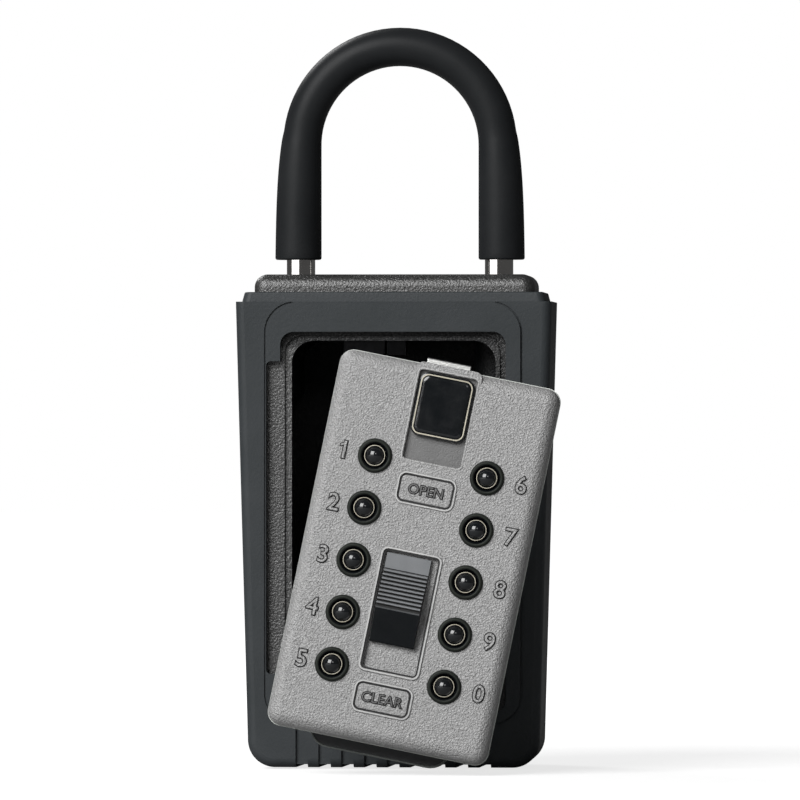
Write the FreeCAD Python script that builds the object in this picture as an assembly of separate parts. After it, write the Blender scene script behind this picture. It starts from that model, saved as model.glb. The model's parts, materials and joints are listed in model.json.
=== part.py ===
import FreeCAD, Part
import math
import os

V = FreeCAD.Vector

# Push-button key safe with a shackle. Millimetres, +Z up, front towards -Y.
# The origin is the hang point: the inner crown of the shackle's sleeve.

# ---- shackle and sleeve ----
ROD_R = 3.55                 # 9/32 in shackle rod
LEG_X = 24.85                # rod axis of each leg from the centre plane
CROWN_Z = -19.8              # centre height of the shackle's bend
SLEEVE_BEND_R = 24.6         # centreline radius of the sleeve's bend
SLEEVE_R = 4.8               # sleeve section radius at the crown
SLEEVE_FOOT_R = 5.8          # sleeve section radius at the foot of each leg
SLEEVE_FOOT_X = 25.6
SLEEVE_FOOT_Z = -48.5
TOE_Z = -63.5                # free end, on the left
HEEL_Z = -76.5               # captive end, on the right
SHACKLE_LIFT = 13.5          # travel that frees the toe
RUN_GAP = 0.05               # running clearance of rods and pins

# ---- die-cast case ----
CASE_HALF_W = 35.1           # at the front; the sides draw in towards the back
CASE_HALF_D = 18.0
SIDE_DRAFT = 1.5             # how much narrower each side is at the back
CASE_EDGE_R = 3.0
CASE_TOP_R = 3.2
CASE_TOP = -52.3
CASE_BOTTOM = -172.0
MOUTH_HALF_W = 25.4          # key compartment, at its mouth
MOUTH_TOP = -68.8
MOUTH_BOTTOM = -158.9
MOUTH_R = 5.5
ROOM_HALF_W = 30.8           # key compartment, behind the front rim
ROOM_TOP = -82.0
ROOM_R = 4.0
HEEL_BOSS_R = 6.0            # lump in the compartment's roof that takes the captive leg
SEAL_GROOVE = (-27.2, 27.2, -160.7, -67.4)      # in the rim round the mouth: left, right, bottom, top
SEAL_GROOVE_W = 0.8
SEAL_GROOVE_Y = -17.2
BOLT_CATCH_TOP = -64.2       # hole behind the rim that the cover's bolt enters
TONGUE_POCKET = (-18.6, 18.6, -11.0, -6.2, -164.3)  # left, right, front, back, bottom
WALL = 3.5
BACK_WALL_Y = CASE_HALF_D - WALL
FRONT_WALL_Y = -CASE_HALF_D + WALL

# ---- bumper jacket ----
JACKET_HALF_D = 20.0
JACKET_TOP = -56.7
LEDGE_Z = -59.1
LEDGE_HALF_W = 39.5
LEDGE_W = 1.3                # step between the jacket's side and its upright lip
LIP_SLOPE = 0.9
JACKET_BOTTOM = -174.8
JACKET_FOOT_HALF_W = 36.3
JACKET_CORNER_R = 6.8
JACKET_EDGE_R = 2.2
OPENING_HALF_W = 28.1
OPENING_TOP = -66.6
OPENING_BOTTOM = -161.2
OPENING_R = 3.3
SIDE_WINDOW = (-31.6, -25.0, -151.6, -73.9)     # bares the case's rim on the left
BACK_RECESS = (-30.0, 30.0, -165.0, -70.0)
BACK_RECESS_DEPTH = 0.8
RING_HALF_W = 31.7
RING_TOP = -59.5
RING_BOTTOM = -163.8
RING_R = 7.3
RING_RISE = 0.5
RING_GROOVE = 0.45
RIB_COUNT = 10
RIB_PITCH = 5.7
RIB_W = 2.7
RIB_DEPTH = 0.8
RIB_TOP = -164.3

# ---- cover, in its closed place ----
LID_Z = -113.9               # centre height of the cover
LID_HALF_W = 27.4
LID_HALF_H = 46.7
LID_R = 3.4
FACE_Y = -23.4
LID_ROLL = 3.2               # rounding from the face into the sides
LID_BACK_Y = -18.4
LID_SKIN_Y = -21.2           # back of the cover's front skin
LID_HOLLOW = (-25.8, 25.8, -43.6, 45.1)         # from the cover's centre
HOUSING_BACK_Y = -7.0
HOUSING_HALF_W = 23.6
HOUSING_TOP = -71.4
HOUSING_BOTTOM = -157.6
HOUSING_WALL = 1.6
TONGUE_HALF_W = 17.5
TONGUE_BOTTOM = -163.6
TONGUE_Y = -10.0
ROCKER_Y = -20.0
ROCKER_Z = -159.3
ROCKER_R = 0.9
ROCKER_HALF_L = 20.0
GATE_FRONT_Y = -16.6
GATE_BACK_Y = -15.6
REAR_PLATE_Y = -8.4
POST_X = 20.2
POST_DZ = 39.4               # screw posts above and below the cover's centre
POST_R = 2.3
GATE_HALF_H = 36.6

# ---- push buttons, from the cover's centre ----
BUTTON_X = 14.0
BUTTON_TOP = 22.3
BUTTON_PITCH = 12.98
LEFT_DIGITS = (1, 2, 3, 4, 5)
RIGHT_DIGITS = (6, 7, 8, 9, 0)
CAP_R = 2.6
BEZEL_R = 4.3
NECK_R = 3.25
STEM_R = 1.3
BUTTON_TRAVEL = 1.6
FLANGE_BACK_Y = -20.2        # flange that keeps a button in its hole
STEM_TIP_Y = -13.8
SPRING_FRONT = FLANGE_BACK_Y + BUTTON_TRAVEL + 0.15     # springs are drawn pressed
SPRING_FOLDS = 4
TUMBLER_R = 2.0

# ---- OPEN slide and its bolt, from the cover's centre ----
PAD = (-7.0, 6.7, 29.2, 44.9)          # left, right, bottom, top
PAD_R = 1.8
PAD_RISE = 0.6
OPEN_RECESS = (-7.4, 7.1, 23.2, 45.3)
LUG = (-8.2, 7.9, 22.6, 47.2)          # raised border that runs over the top edge
LUG_R = 1.6
RECESS_Y = -22.2             # floor of both slide recesses
OPEN_TRAVEL = 5.5
BOLT_X = -1.5
BOLT_HALF_W = 5.4
BOLT_TOP = 48.7
BOLT_BOTTOM = 25.0
BOLT_FRONT_Y = -14.8
BOLT_BACK_Y = -12.8
SHANK = (36.4, 40.4)         # bottom and top of the stem between pad and bolt

# ---- CLEAR slide, from the cover's centre ----
CLEAR = (-6.2, 4.8, -22.2, -0.1)
CLEAR_RECESS = (-6.75, 6.5, -28.6, 0.3)
CLEAR_STEP = -4.1            # foot of the ribbed slope
CLEAR_RIDGE = -13.5
CLEAR_RISE = 3.2             # height of the ridge over the cover's face
CLEAR_TRAVEL = 5.5

# ---- place of the removed cover ----
REST_FACE = V(8.84, -66.0, -121.7)     # centre of its face
REST_LEAN = 3.0                        # top leans back
REST_ROLL = 11.4                       # clockwise from the front


def block(x0, x1, y0, y1, z0, z1):
    return Part.makeBox(x1 - x0, y1 - y0, z1 - z0, V(x0, y0, z0))


def rod_z(x, y, r, z0, z1):
    return Part.makeCylinder(r, z1 - z0, V(x, y, z0), V(0, 0, 1))


def rod_y(x, z, r, y0, y1):
    return Part.makeCylinder(r, y1 - y0, V(x, y0, z), V(0, 1, 0))


def rod_x(y, z, r, x0, x1):
    return Part.makeCylinder(r, x1 - x0, V(x0, y, z), V(1, 0, 0))


def rounded_wire(x0, x1, z0, z1, r, y):
    """Rectangle with round corners in the plane at depth y."""
    c = r * (1 - math.sqrt(0.5))
    line = Part.LineSegment
    edges = [
        line(V(x0 + r, y, z0), V(x1 - r, y, z0)),
        Part.Arc(V(x1 - r, y, z0), V(x1 - c, y, z0 + c), V(x1, y, z0 + r)),
        line(V(x1, y, z0 + r), V(x1, y, z1 - r)),
        Part.Arc(V(x1, y, z1 - r), V(x1 - c, y, z1 - c), V(x1 - r, y, z1)),
        line(V(x1 - r, y, z1), V(x0 + r, y, z1)),
        Part.Arc(V(x0 + r, y, z1), V(x0 + c, y, z1 - c), V(x0, y, z1 - r)),
        line(V(x0, y, z1 - r), V(x0, y, z0 + r)),
        Part.Arc(V(x0, y, z0 + r), V(x0 + c, y, z0 + c), V(x0 + r, y, z0)),
    ]
    return Part.Wire([e.toShape() for e in edges])


def panel(x0, x1, z0, z1, r, y0, y1):
    """Rounded rectangle as seen from the front, from depth y0 to y1."""
    return Part.Face(rounded_wire(x0, x1, z0, z1, r, y0)).extrude(V(0, y1 - y0, 0))


def frame_strip(x0, x1, z0, z1, r, width, y0, y1):
    """Closed strip of the given width just inside a rounded rectangle."""
    outer = panel(x0, x1, z0, z1, r, y0, y1)
    inner = panel(x0 + width, x1 - width, z0 + width, z1 - width, max(r - width, 0.2), y0, y1)
    return outer.cut(inner)


def edges_where(shape, test):
    return [e for e in shape.Edges if test(e.BoundBox)]


def coil(x, y, z, direction, radius, wire, pitch, height):
    """Helical spring whose axis starts at the given point."""
    helix = Part.makeHelix(pitch, height, radius)
    start = helix.Vertexes[0].Point
    section = Part.Wire(Part.makeCircle(wire, start, V(0, 2 * math.pi * radius, pitch)))
    spring = Part.Wire(helix.Edges).makePipeShell([section], True, True)
    spring.Placement = FreeCAD.Placement(V(x, y, z), FreeCAD.Rotation(V(0, 0, 1), direction))
    return spring


# ---------------------------------------------------------------- shackle

def bent_rod(radius, toe_z, heel_z, bend_r=LEG_X):
    bend = Part.makeTorus(bend_r, radius, V(0, 0, CROWN_Z), V(0, 1, 0))
    bend = bend.common(block(-60, 60, -20, 20, CROWN_Z, 40))
    toe = rod_z(-bend_r, 0, radius, toe_z, CROWN_Z)
    heel = rod_z(bend_r, 0, radius, heel_z, CROWN_Z)
    return bend.fuse([toe, heel]).removeSplitter()


NOTCH_X = -23.4              # depth of the toe notch
NOTCH = (-60.7, -57.7)
FLAT_X = 26.85               # retaining flat on the heel
FLAT_TOP = -58.0
PIN_R = 1.5
PIN_Z = FLAT_TOP - 0.1 - PIN_R
PIN_X = FLAT_X + RUN_GAP + PIN_R
FLAT_BOTTOM = PIN_Z - PIN_R - SHACKLE_LIFT - 0.15


def shackle():
    body = bent_rod(ROD_R, TOE_Z, HEEL_Z)
    body = body.cut(block(NOTCH_X, -15, -5, 5, NOTCH[0], NOTCH[1]))
    body = body.cut(block(FLAT_X, 32, -5, 5, FLAT_BOTTOM, FLAT_TOP))
    ends = edges_where(body, lambda b: b.ZLength < 0.01 and b.XLength > 6 and b.ZMax < TOE_Z + 0.1)
    return body.makeChamfer(0.6, ends)


def shackle_sleeve():
    bend = Part.makeTorus(SLEEVE_BEND_R, SLEEVE_R, V(0, 0, CROWN_Z), V(0, 1, 0))
    bend = bend.common(block(-60, 60, -20, 20, CROWN_Z, 40))
    legs = []
    for side in (-1, 1):
        top = Part.Wire(Part.makeCircle(SLEEVE_R, V(side * SLEEVE_BEND_R, 0, CROWN_Z), V(0, 0, 1)))
        foot_centre = V(side * SLEEVE_FOOT_X, 0, SLEEVE_FOOT_Z)
        foot = Part.Wire(Part.makeCircle(SLEEVE_FOOT_R, foot_centre, V(0, 0, 1)))
        legs.append(Part.makeLoft([top, foot], True, True))
    bore = bent_rod(ROD_R + RUN_GAP, SLEEVE_FOOT_Z - 5, SLEEVE_FOOT_Z - 5)
    return bend.fuse(legs).cut(bore)


def shackle_heel_pin():
    return rod_y(PIN_X, PIN_Z, PIN_R, -6.0, 17.0)


# ---------------------------------------------------------------- case

LATCH_POCKET = (-21.8, 6.5, -7.0, 7.0, -57.6)     # left, right, front, back, top
BAR_HALF_D = 3.2
BAR_BOTTOM = -60.5
BAR_TOP = -57.9
LATCH_BAR = (-20.9, 3.0)     # ends of the bar that enters the toe notch
LATCH_TAB = (-14.0, -3.5, -2.0, 2.0, -72.5)     # left, right, front, back, bottom
LATCH_SCREWS = [(x, y) for x in (-18.6, 4.4) for y in (-5.1, 5.1)]
PLUNGER_XY = (14.0, 9.0)
PLUNGER_R = 3.0
PLUNGER_TOP = -54.9
PLUNGER_BOTTOM = -68.3
BALL_R = 1.9
BALL_Z = -65.8


def drafted_plan(half_w, half_d, z):
    """Plan outline at height z, narrower at the back than at the front."""
    back_w = half_w - SIDE_DRAFT
    corners = [V(-half_w, -half_d, z), V(half_w, -half_d, z), V(back_w, half_d, z), V(-back_w, half_d, z)]
    return Part.makePolygon(corners + corners[:1])


def case_block(gap, z0, z1):
    """Outside of the case, grown all round by a gap."""
    plan = Part.Face(drafted_plan(CASE_HALF_W + gap, CASE_HALF_D + gap, z0))
    return plan.extrude(V(0, 0, z1 - z0))


def case_body():
    body = case_block(0, CASE_BOTTOM, CASE_TOP)
    body = body.makeFillet(CASE_EDGE_R, edges_where(body, lambda b: b.ZLength > 50))
    body = body.makeFillet(CASE_TOP_R, edges_where(body, lambda b: b.ZMin > CASE_TOP - 0.01))
    mouth = panel(-MOUTH_HALF_W, MOUTH_HALF_W, MOUTH_BOTTOM, MOUTH_TOP, MOUTH_R, -20, BACK_WALL_Y)
    room = panel(-ROOM_HALF_W, ROOM_HALF_W, MOUTH_BOTTOM, ROOM_TOP, ROOM_R, FRONT_WALL_Y, BACK_WALL_Y)
    heel_boss = rod_z(LEG_X, 0, HEEL_BOSS_R, HEEL_Z - 2, MOUTH_TOP + 1)
    boss_web = block(LEG_X, ROOM_HALF_W + 2, -HEEL_BOSS_R, HEEL_BOSS_R, HEEL_Z - 2, MOUTH_TOP + 1)
    body = body.cut([mouth, room]).fuse([heel_boss, boss_web])
    pocket_left, pocket_right, pocket_front, pocket_back, pocket_top = LATCH_POCKET
    cuts = [
        frame_strip(*SEAL_GROOVE, MOUTH_R - 0.9, SEAL_GROOVE_W, -19, SEAL_GROOVE_Y),
        rod_z(LEG_X, 0, ROD_R + RUN_GAP, HEEL_Z - 3, 0),
        rod_z(-LEG_X, 0, ROD_R + RUN_GAP, TOE_Z - 1.5, 0),
        rod_y(PIN_X, PIN_Z, PIN_R + 0.02, -6.0, 20),
        block(pocket_left, pocket_right, pocket_front, pocket_back, -70, pocket_top),
        block(-LEG_X, pocket_left + 0.1, -BAR_HALF_D - 0.3, BAR_HALF_D + 0.3, BAR_BOTTOM - 0.3, pocket_top),
        rod_z(PLUNGER_XY[0], PLUNGER_XY[1], PLUNGER_R + RUN_GAP, -70, PLUNGER_TOP + 0.3),
        block(BOLT_X - 6.0, BOLT_X + 6.0, BOLT_FRONT_Y - 0.3, BOLT_BACK_Y + 0.6, -70, BOLT_CATCH_TOP),
        block(*TONGUE_POCKET, MOUTH_BOTTOM + 1),
    ]
    cuts += [rod_z(x, y, 1.15, -58, -54.0) for x, y in LATCH_SCREWS]
    return body.cut(cuts)


def jacket_outline(draft, y):
    """Front view of the jacket below its lip, drawn in by a draft."""
    foot, ledge = JACKET_FOOT_HALF_W - draft, LEDGE_HALF_W - draft
    corners = [V(-foot, y, JACKET_BOTTOM), V(foot, y, JACKET_BOTTOM)]
    corners += [V(ledge, y, LEDGE_Z), V(-ledge, y, LEDGE_Z)]
    return Part.makePolygon(corners + corners[:1])


def jacket_lip():
    """Upright lip round the case's top."""
    low_w, low_d = LEDGE_HALF_W - LEDGE_W, JACKET_HALF_D - 0.6
    foot = drafted_plan(low_w, low_d, LEDGE_Z - 1)
    top = drafted_plan(low_w - LIP_SLOPE, low_d - LIP_SLOPE / 2, JACKET_TOP)
    lip = Part.makeLoft([foot, top], True, True)
    lip = lip.makeFillet(2.0, edges_where(lip, lambda b: b.ZLength > 2))
    return lip.makeFillet(0.5, edges_where(lip, lambda b: b.ZMin > JACKET_TOP - 0.01))


def jacket_ribs():
    """Gaps between the ribs along the foot of the jacket's front."""
    gap_w = RIB_PITCH - RIB_W
    gaps = []
    for i in range(RIB_COUNT - 1):
        x = (i - (RIB_COUNT - 2) / 2) * RIB_PITCH
        left, right = x - gap_w / 2, x + gap_w / 2
        gaps.append(block(left, right, -25, -JACKET_HALF_D + RIB_DEPTH, JACKET_BOTTOM - 1, RIB_TOP))
        gaps.append(block(left, right, -25, 25, JACKET_BOTTOM - 1, JACKET_BOTTOM + RIB_DEPTH))
    return gaps


def bumper_jacket():
    front = jacket_outline(0, -JACKET_HALF_D)
    back = jacket_outline(SIDE_DRAFT, JACKET_HALF_D)
    body = Part.makeLoft([front, back], True, True)
    foot_edges = edges_where(body, lambda b: b.YLength > 30 and b.ZMax < JACKET_BOTTOM + 0.01)
    body = body.makeFillet(JACKET_CORNER_R, foot_edges)
    rims = edges_where(body, lambda b: b.YLength < 0.01 and b.ZMin < LEDGE_Z - 1)
    body = body.makeFillet(JACKET_EDGE_R, rims)
    ring_front = -JACKET_HALF_D - RING_RISE
    ring_box = (-RING_HALF_W, RING_HALF_W, RING_BOTTOM, RING_TOP, RING_R)
    body = body.fuse([jacket_lip(), panel(*ring_box, ring_front, -JACKET_HALF_D + 0.5)])
    g = RING_GROOVE
    groove = frame_strip(-RING_HALF_W - g, RING_HALF_W + g, RING_BOTTOM - g, RING_TOP + g, RING_R + g, g,
                         ring_front - 1, -JACKET_HALF_D + g)
    cuts = [
        case_block(RUN_GAP, CASE_BOTTOM - RUN_GAP, 0),
        panel(-OPENING_HALF_W, OPENING_HALF_W, OPENING_BOTTOM, OPENING_TOP, OPENING_R, -25, -10),
        panel(*SIDE_WINDOW, 1.2, -25, -10),
        groove,
        panel(*BACK_RECESS, 6.0, JACKET_HALF_D - BACK_RECESS_DEPTH, 25),
    ]
    return body.cut(cuts + jacket_ribs())


def shackle_latch():
    bar = block(*LATCH_BAR, -BAR_HALF_D, BAR_HALF_D, BAR_BOTTOM, BAR_TOP)
    tab = block(*LATCH_TAB, BAR_BOTTOM + 0.1)
    return bar.fuse(tab).removeSplitter()


def latch_guide_plate():
    plate = block(-20.8, 6.3, -6.8, 6.8, -63.2, -60.6)
    plate = plate.fuse(block(-3.1, 1.7, -2.0, 2.0, -72.3, -63.0))
    cuts = [block(-16.6, -3.3, -2.3, 2.3, -75, -55)]
    cuts += [rod_z(x, y, 1.25, -64, -60) for x, y in LATCH_SCREWS]
    return plate.cut(cuts)


def screw_z(x, y, head_z, tip_z):
    head = rod_z(x, y, 1.7, head_z - 1.2, head_z)
    shank = rod_z(x, y, 1.1, head_z - 0.5, tip_z)
    slot = block(x - 2, x + 2, y - 0.25, y + 0.25, head_z - 1.3, head_z - 0.7)
    return head.fuse(shank).cut(slot)


def latch_plate_screws():
    return Part.makeCompound([screw_z(x, y, -63.2, -54.3) for x, y in LATCH_SCREWS])


def interlock_plunger():
    x, y = PLUNGER_XY
    body = rod_z(x, y, PLUNGER_R, PLUNGER_BOTTOM, PLUNGER_TOP)
    return body.cut(rod_z(x, y, BALL_R + 0.3, PLUNGER_BOTTOM - 1, BALL_Z + BALL_R + 0.6))


def interlock_ball():
    x, y = PLUNGER_XY
    return Part.makeSphere(BALL_R, V(x, y, BALL_Z))


# ---------------------------------------------------------------- cover

def lid_z(v):
    return LID_Z + v


def lid_rect(rect, y0, y1, r=0.0):
    left, right, low, high = rect
    if r:
        return panel(left, right, lid_z(low), lid_z(high), r, y0, y1)
    return block(left, right, y0, y1, lid_z(low), lid_z(high))


def button_places():
    """Digit, x and z of each push button."""
    places = []
    for x, digits in ((-BUTTON_X, LEFT_DIGITS), (BUTTON_X, RIGHT_DIGITS)):
        for row, digit in enumerate(digits):
            places.append((digit, x, lid_z(BUTTON_TOP - row * BUTTON_PITCH)))
    return places


OPEN_SLOT = (-2.8, 2.8, SHANK[0] - OPEN_TRAVEL - 0.4, SHANK[1] + 0.3)
CLEAR_SLOT = (-2.3, 2.3, -13.2 - CLEAR_TRAVEL, -8.8)


def post_places():
    """x and z of the four screw posts that hold the rear plate."""
    return [(x, LID_Z + dz) for x in (-POST_X, POST_X) for dz in (-POST_DZ, POST_DZ)]


def lid_cover():
    low, high = LID_Z - LID_HALF_H, LID_Z + LID_HALF_H
    body = panel(-LID_HALF_W, LID_HALF_W, low, high, LID_R, FACE_Y, LID_BACK_Y)
    body = body.makeFillet(LID_ROLL, edges_where(body, lambda b: b.YMax < FACE_Y + 0.01))
    body = body.fuse(lid_rect(LUG, FACE_Y, LID_BACK_Y - 0.5, LUG_R))
    cuts = [
        lid_rect(LID_HOLLOW, LID_SKIN_Y, LID_BACK_Y, 2.0),
        lid_rect(OPEN_RECESS, FACE_Y - 2, RECESS_Y, 0.9),
        lid_rect(OPEN_SLOT, FACE_Y, LID_BACK_Y),
        lid_rect(CLEAR_RECESS, FACE_Y - 2, RECESS_Y, 0.8),
        lid_rect(CLEAR_SLOT, FACE_Y, LID_BACK_Y),
        rod_x(ROCKER_Y, ROCKER_Z, ROCKER_R + RUN_GAP, -ROCKER_HALF_L - 0.2, ROCKER_HALF_L + 0.2),
    ]
    cuts += [rod_y(x, z, NECK_R + 0.05, FACE_Y - 1, LID_BACK_Y) for _, x, z in button_places()]
    return body.cut(cuts)


def mechanism_housing():
    half, w = HOUSING_HALF_W, HOUSING_WALL
    outer = panel(-half, half, HOUSING_BOTTOM, HOUSING_TOP, 3.0, LID_BACK_Y, HOUSING_BACK_Y)
    tongue_top = HOUSING_BOTTOM + 6
    tongue = panel(-TONGUE_HALF_W, TONGUE_HALF_W, TONGUE_BOTTOM, tongue_top, 5.0, TONGUE_Y, HOUSING_BACK_Y)
    inner = panel(-half + w, half - w, HOUSING_BOTTOM + w, HOUSING_TOP - w, 1.6, -30, 0)
    body = outer.fuse(tongue).cut(inner)
    body = body.fuse([rod_y(x, z, POST_R, LID_BACK_Y, REAR_PLATE_Y) for x, z in post_places()])
    bolt_slot = block(BOLT_X - BOLT_HALF_W - 0.15, BOLT_X + BOLT_HALF_W + 0.15,
                      BOLT_FRONT_Y - 0.15, BOLT_BACK_Y + 0.15, HOUSING_TOP - 3, HOUSING_TOP + 3)
    screw_holes = [rod_y(x, z, 1.0, -14, 0) for x, z in post_places()]
    return body.cut([bolt_slot] + screw_holes)


def rear_plate():
    w = HOUSING_WALL + 0.05
    body = panel(-HOUSING_HALF_W + w, HOUSING_HALF_W - w, HOUSING_BOTTOM + w, HOUSING_TOP - w, 1.5,
                 REAR_PLATE_Y, HOUSING_BACK_Y)
    cuts = [rod_y(x, z, TUMBLER_R + RUN_GAP, -12, 0) for _, x, z in button_places()]
    cuts += [rod_y(x, z, 1.2, -12, 0) for x, z in post_places()]
    return body.cut(cuts)


def rear_plate_screws():
    screws = []
    for x, z in post_places():
        head = rod_y(x, z, 1.9, HOUSING_BACK_Y, HOUSING_BACK_Y + 1.1)
        shank = rod_y(x, z, 0.98, -13.0, HOUSING_BACK_Y + 0.3)
        slot = block(x - 3, x + 3, HOUSING_BACK_Y + 0.6, HOUSING_BACK_Y + 2, z - 0.25, z + 0.25)
        screws.append(head.fuse(shank).cut(slot))
    return Part.makeCompound(screws)


def gate_plate():
    w = HOUSING_WALL + 0.05
    body = panel(-HOUSING_HALF_W + w, HOUSING_HALF_W - w, LID_Z - GATE_HALF_H, LID_Z + GATE_HALF_H, 0.8,
                 GATE_FRONT_Y, GATE_BACK_Y)
    open_shelf = block(-3.0, 3.0, GATE_BACK_Y - 0.1, -11.8, lid_z(9.8), lid_z(10.8))
    clear_shelf = block(-2.6, 2.6, -20.9, GATE_FRONT_Y + 0.1, lid_z(-27.6), lid_z(-26.6))
    body = body.fuse([open_shelf, clear_shelf])
    cuts = [rod_y(x, z, STEM_R + 0.1, -20, -10) for _, x, z in button_places()]
    cuts += [lid_rect(OPEN_SLOT, -18, -15), lid_rect(CLEAR_SLOT, -18, -15)]
    return body.cut(cuts)


def rocker_rod():
    return rod_x(ROCKER_Y, ROCKER_Z, ROCKER_R, -ROCKER_HALF_L, ROCKER_HALF_L)


def button_bezels():
    rings = []
    for _, x, z in button_places():
        flange = rod_y(x, z, BEZEL_R, FACE_Y - 0.9, FACE_Y)
        flange = flange.makeFillet(0.6, edges_where(flange, lambda b: b.YMax < FACE_Y - 0.5))
        neck = rod_y(x, z, NECK_R, FACE_Y - 0.1, -21.3)
        rings.append(flange.fuse(neck).cut(rod_y(x, z, CAP_R + 0.1, -30, -15)))
    return Part.makeCompound(rings)


def button(x, z):
    cap = rod_y(x, z, CAP_R, FACE_Y - 2.1, -20.9)
    dome = Part.makeSphere(4.2, V(x, FACE_Y - 2.1 + 4.2, z))
    flange = rod_y(x, z, 3.4, LID_SKIN_Y + 0.1, FLANGE_BACK_Y)
    stem = rod_y(x, z, STEM_R, FLANGE_BACK_Y - 0.1, STEM_TIP_Y)
    crown = cap.common(dome.fuse(rod_y(x, z, CAP_R, FACE_Y, -20.9)))
    return crown.fuse([flange, stem]).removeSplitter()


def button_spring(x, z):
    """Return spring at its pressed length: a corrugated sleeve of thin steel."""
    inner_r, fold, wall = 1.6, 0.6, 0.3
    pitch = (GATE_FRONT_Y - 0.15 - SPRING_FRONT) / SPRING_FOLDS
    wave = [(inner_r + fold * (i % 2), SPRING_FRONT + pitch * i) for i in range(SPRING_FOLDS + 1)]
    section = wave + [(r + wall, y) for r, y in reversed(wave)]
    points = [V(x + r, y, z) for r, y in section + section[:1]]
    return Part.Face(Part.makePolygon(points)).revolve(V(x, 0, z), V(0, 1, 0), 360)


def code_tumbler(x, z):
    body = rod_y(x, z, TUMBLER_R, -12.0, HOUSING_BACK_Y - 0.1)
    body = body.fuse(rod_y(x, z, 2.7, -10.3, -8.6))
    slot = block(x - 0.3, x + 0.3, HOUSING_BACK_Y - 0.7, HOUSING_BACK_Y + 1, z - 3, z + 3)
    return body.cut(slot)


def open_button():
    pad = lid_rect(PAD, FACE_Y - PAD_RISE, RECESS_Y - 0.1, PAD_R)
    pad = pad.makeFillet(0.4, edges_where(pad, lambda b: b.YMax < FACE_Y - PAD_RISE + 0.01))
    shank = block(-2.5, 2.5, RECESS_Y - 0.2, BOLT_FRONT_Y, lid_z(SHANK[0]), lid_z(SHANK[1]))
    return pad.fuse(shank).removeSplitter()


def latch_bolt():
    bolt = block(BOLT_X - BOLT_HALF_W, BOLT_X + BOLT_HALF_W, BOLT_FRONT_Y, BOLT_BACK_Y,
                 lid_z(BOLT_BOTTOM), lid_z(BOLT_TOP))
    nose = edges_where(bolt, lambda b: b.ZMin > lid_z(BOLT_TOP) - 0.01 and b.YMin > BOLT_BACK_Y - 0.01)
    return bolt.makeChamfer(1.2, nose)


def open_spring():
    return coil(0, -13.8, lid_z(11.1), V(0, 0, 1), 1.5, 0.25, 1.0, 7.4)


def clear_slide():
    left, right, low, high = CLEAR
    rail_y, ridge_y = FACE_Y - 0.2, FACE_Y - CLEAR_RISE
    slope_y, slope_top, slope_end = rail_y - 0.5, CLEAR_STEP - 0.2, CLEAR_RIDGE + 0.3
    profile = [
        (RECESS_Y - 0.1, high), (rail_y, high), (rail_y, CLEAR_STEP), (slope_y, slope_top),
        (ridge_y, slope_end), (ridge_y, CLEAR_RIDGE - 0.5), (rail_y - 0.4, low), (RECESS_Y - 0.1, low),
    ]
    points = [V(left, y, lid_z(v)) for y, v in profile]
    points.append(points[0])
    body = Part.Face(Part.makePolygon(points)).extrude(V(right - left, 0, 0))
    grooves, pitch = 8, 1.05
    cuts = []
    for i in range(grooves):
        v = slope_top - 0.6 - i * pitch
        surface = slope_y + (ridge_y - slope_y) * (v - slope_top) / (slope_end - slope_top)
        cuts.append(block(left - 1, right + 1, surface - 3, surface + 0.45, lid_z(v - 0.2), lid_z(v + 0.2)))
    shank = block(-2.0, 2.0, RECESS_Y - 0.2, -14.2, lid_z(-13.0), lid_z(-9.0))
    return body.cut(cuts).fuse(shank)


def clear_spring():
    return coil(0, -18.9, lid_z(-26.3), V(0, 0, 1), 1.5, 0.25, 1.0, 6.9)


def removed_cover_place():
    """From the cover's closed place to where it is when taken off."""
    lean = FreeCAD.Rotation(V(1, 0, 0), -REST_LEAN)
    roll = FreeCAD.Rotation(V(0, 1, 0), REST_ROLL)
    turn = lean.multiply(roll)
    face = V(0, FACE_Y, LID_Z)
    return FreeCAD.Placement(REST_FACE - turn.multVec(face), turn)


def case_nodes():
    return {
        "case_body": case_body(),
        "bumper_jacket": bumper_jacket(),
        "shackle": shackle(),
        "shackle_sleeve": shackle_sleeve(),
        "shackle_heel_pin": shackle_heel_pin(),
        "shackle_latch": shackle_latch(),
        "latch_guide_plate": latch_guide_plate(),
        "latch_plate_screws": latch_plate_screws(),
        "interlock_plunger": interlock_plunger(),
        "interlock_ball": interlock_ball(),
    }


def cover_nodes():
    nodes = {
        "lid_cover": lid_cover(),
        "mechanism_housing": mechanism_housing(),
        "rear_plate": rear_plate(),
        "rear_plate_screws": rear_plate_screws(),
        "gate_plate": gate_plate(),
        "rocker_rod": rocker_rod(),
        "button_bezels": button_bezels(),
        "open_button": open_button(),
        "latch_bolt": latch_bolt(),
        "open_spring": open_spring(),
        "clear_slide": clear_slide(),
        "clear_spring": clear_spring(),
    }
    for digit, x, z in button_places():
        nodes["button_%d" % digit] = button(x, z)
        nodes["button_spring_%d" % digit] = button_spring(x, z)
        nodes["code_tumbler_%d" % digit] = code_tumbler(x, z)
    return nodes


os.makedirs("parts", exist_ok=True)
place = removed_cover_place().toMatrix()
nodes = case_nodes()
for name, shape in cover_nodes().items():
    nodes[name] = shape.transformed(place)
for name, shape in nodes.items():
    shape.exportStep("parts/%s.step" % name)
    box = shape.BoundBox
    print("%-20s solids %d valid %s volume %.1f  x %.1f %.1f  y %.1f %.1f  z %.1f %.1f" % (
        name, len(shape.Solids), shape.isValid(), shape.Volume, box.XMin, box.XMax, box.YMin, box.YMax,
        box.ZMin, box.ZMax))
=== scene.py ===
import bpy
import bmesh
import json
import math
from mathutils import Matrix, Vector


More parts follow.
